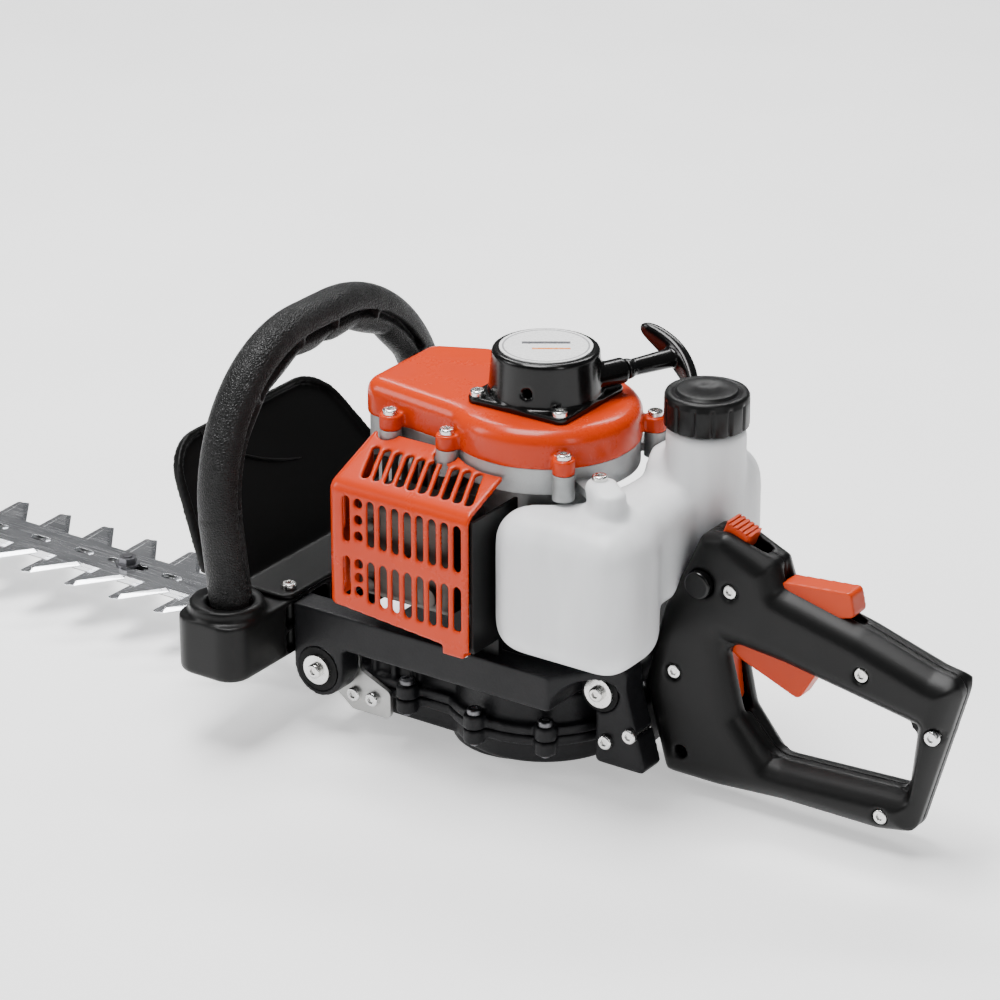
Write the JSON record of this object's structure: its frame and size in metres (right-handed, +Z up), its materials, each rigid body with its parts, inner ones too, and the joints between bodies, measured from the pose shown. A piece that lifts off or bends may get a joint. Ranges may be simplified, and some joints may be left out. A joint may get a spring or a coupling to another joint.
{
  "type": "hedge trimmer",
  "caption": "Petrol hedge trimmer with a two-sided reciprocating blade, looped front handle, hand guard, wrap-round fuel tank and D-shaped rear handle.",
  "frame": {"origin": "on the flat foot of the gear case, straight below the crankshaft axis", "axes": "+X towards the rear handle, -X towards the blade tip, -Y the machine's left side, +Z up along the crankshaft"},
  "size_m": [1.0601, 0.25, 0.2436],
  "materials": {
    "case_black": "die casting painted satin black",
    "cast_aluminium": "as cast, lightly sanded",
    "blade_steel": "ground and polished",
    "dark_steel": "oiled",
    "bright_screws": "zinc plated",
    "orange_gloss": "glossy moulded",
    "orange_plastic": "moulded lever plastic",
    "black_gloss": "glossy moulded",
    "black_plastic": "fine satin moulded",
    "grip_black": "leather-grain grip",
    "tank_white": "translucent blow-moulded",
    "rubber_black": "moulded rubber",
    "plate_steel": "blasted zinc plate",
    "muffler_steel": "heat-tinted pressed steel",
    "shield_black": "thin moulded shield",
    "badge_white": "plain printed disc",
    "ceramic_white": "glazed ceramic and plated steel",
    "filter_foam": "open-cell foam",
    "rope_black": "braided nylon",
    "primer_clear": "translucent bulb"
  },
  "bodies": {
    "body": {"gearcase_upper": "case_black", "gearcase_lower": "case_black", "gearcase_bolts": "dark_steel", "gear_shaft": "dark_steel", "bearings": "dark_steel", "guide_bar": "plate_steel", "blade_bolts": "dark_steel", "crankcase": "cast_aluminium", "cylinder": "cast_aluminium", "spark_plug": "ceramic_white", "spark_plug_boot": "rubber_black", "ignition_coil": "black_plastic", "clutch_housing": "case_black", "muffler": "muffler_steel", "muffler_cover": "orange_gloss", "heat_shield": "black_plastic", "cover_screws": "bright_screws", "fan_cover": "orange_gloss", "starter_housing": "black_gloss", "starter_badge": "badge_white", "starter_screws": "bright_screws", "recoil_spring": "dark_steel", "carburettor": "cast_aluminium", "air_filter_element": "filter_foam", "air_filter_cover": "black_plastic", "fuel_tank": "tank_white", "main_frame": "case_black", "av_rubbers": "rubber_black", "av_screws": "bright_screws", "av_plates": "plate_steel", "handle_bracket": "black_plastic", "front_handle": "grip_black", "front_guard": "shield_black", "rear_handle_left": "black_plastic", "rear_handle_right": "black_plastic", "rear_handle_screws": "bright_screws", "trigger_pins": "dark_steel"},
    "crank": {"crankshaft": "dark_steel", "flywheel_fan": "cast_aluminium", "clutch_shoes": "dark_steel"},
    "drum": {"clutch_drum": "dark_steel", "drive_pinion": "dark_steel"},
    "gear": {"drive_gear": "dark_steel"},
    "upper_cutter": {"upper_blade": "blade_steel", "upper_con_rod": "dark_steel"},
    "lower_cutter": {"lower_blade": "blade_steel", "lower_con_rod": "dark_steel"},
    "piston_group": {"piston": "cast_aluminium", "connecting_rod": "dark_steel"},
    "trigger": {"throttle_trigger": "orange_plastic"},
    "lockout": {"lockout_lever": "orange_plastic"},
    "switch": {"stop_switch": "orange_plastic"},
    "set_button": {"lock_button": "black_gloss"},
    "cap": {"fuel_cap": "black_plastic"},
    "pull_grip": {"starter_grip": "black_gloss", "starter_rope": "rope_black"},
    "pulley": {"starter_pulley": "black_plastic"},
    "choke": {"choke_lever": "orange_plastic"},
    "primer": {"primer_bulb": "primer_clear"},
    "knob": {"air_filter_knob": "black_gloss"}
  },
  "joints": [
    {"name": "crank_spin", "type": "hinge", "parent": "body", "child": "crank", "pos_m": [0, 0, 0.1], "axis": [0, 0, 1], "continuous": true},
    {"name": "drum_spin", "type": "hinge", "parent": "body", "child": "drum", "pos_m": [0, 0, 0.06], "axis": [0, 0, 1], "continuous": true},
    {"name": "gear_spin", "type": "hinge", "parent": "body", "child": "gear", "pos_m": [-0.03562, 0, 0.028], "axis": [0, 0, 1], "continuous": true},
    {"name": "upper_blade_slide", "type": "slide", "parent": "body", "child": "upper_cutter", "axis": [1, 0, 0], "range_m": [-0.01125, 0.00625]},
    {"name": "lower_blade_slide", "type": "slide", "parent": "body", "child": "lower_cutter", "axis": [1, 0, 0], "range_m": [-0.00625, 0.01125]},
    {"name": "piston_slide", "type": "slide", "parent": "body", "child": "piston_group", "axis": [1, 0, 0], "range_m": [0, 0.028]},
    {"name": "trigger_pull", "type": "hinge", "parent": "body", "child": "trigger", "pos_m": [0.134, 0, 0.113], "axis": [0, -1, 0], "range_deg": [0, 13], "stiffness_Nm_per_rad": 0.12, "springref_deg": -8.59},
    {"name": "lockout_press", "type": "hinge", "parent": "body", "child": "lockout", "pos_m": [0.165, 0, 0.128], "axis": [0, 1, 0], "range_deg": [0, 8], "stiffness_Nm_per_rad": 0.12, "springref_deg": -8.59},
    {"name": "switch_slide", "type": "slide", "parent": "body", "child": "switch", "axis": [0.9336, 0, -0.3584], "range_m": [0, 0.007]},
    {"name": "set_button_press", "type": "slide", "parent": "body", "child": "set_button", "axis": [0, 1, 0], "range_m": [0, 0.0035], "stiffness_N_per_m": 300, "springref_m": -0.003},
    {"name": "cap_turn", "type": "hinge", "parent": "body", "child": "cap", "pos_m": [0.09, 0.026, 0.2083], "axis": [0, 0, 1], "range_deg": [0, 540]},
    {"name": "starter_pull", "type": "slide", "parent": "body", "child": "pull_grip", "axis": [0.3746, 0.9272, 0], "range_m": [0, 0.04], "stiffness_N_per_m": 60, "springref_m": -0.05},
    {"name": "pulley_spin", "type": "hinge", "parent": "body", "child": "pulley", "pos_m": [0, 0, 0.226], "axis": [0, 0, 1], "range_deg": [0, 128.32]},
    {"name": "choke_turn", "type": "hinge", "parent": "body", "child": "choke", "pos_m": [-0.028, 0.055, 0.14], "axis": [0, -1, 0], "range_deg": [0, 45]},
    {"name": "primer_press", "type": "slide", "parent": "body", "child": "primer", "axis": [-1, 0, 0], "range_m": [0, 0.003], "stiffness_N_per_m": 200, "springref_m": -0.003},
    {"name": "knob_turn", "type": "hinge", "parent": "body", "child": "knob", "pos_m": [-0.05, 0.1, 0.128], "axis": [0, 1, 0], "range_deg": [0, 720]}
  ],
  "couplings": [
    {"joint": "drum_spin", "follows": "crank_spin", "ratio": 1},
    {"joint": "gear_spin", "follows": "crank_spin", "ratio": -0.23913},
    {"joint": "lower_blade_slide", "follows": "upper_blade_slide", "ratio": -1},
    {"joint": "pulley_spin", "follows": "starter_pull", "rad_per_m": 55.556}
  ]
}
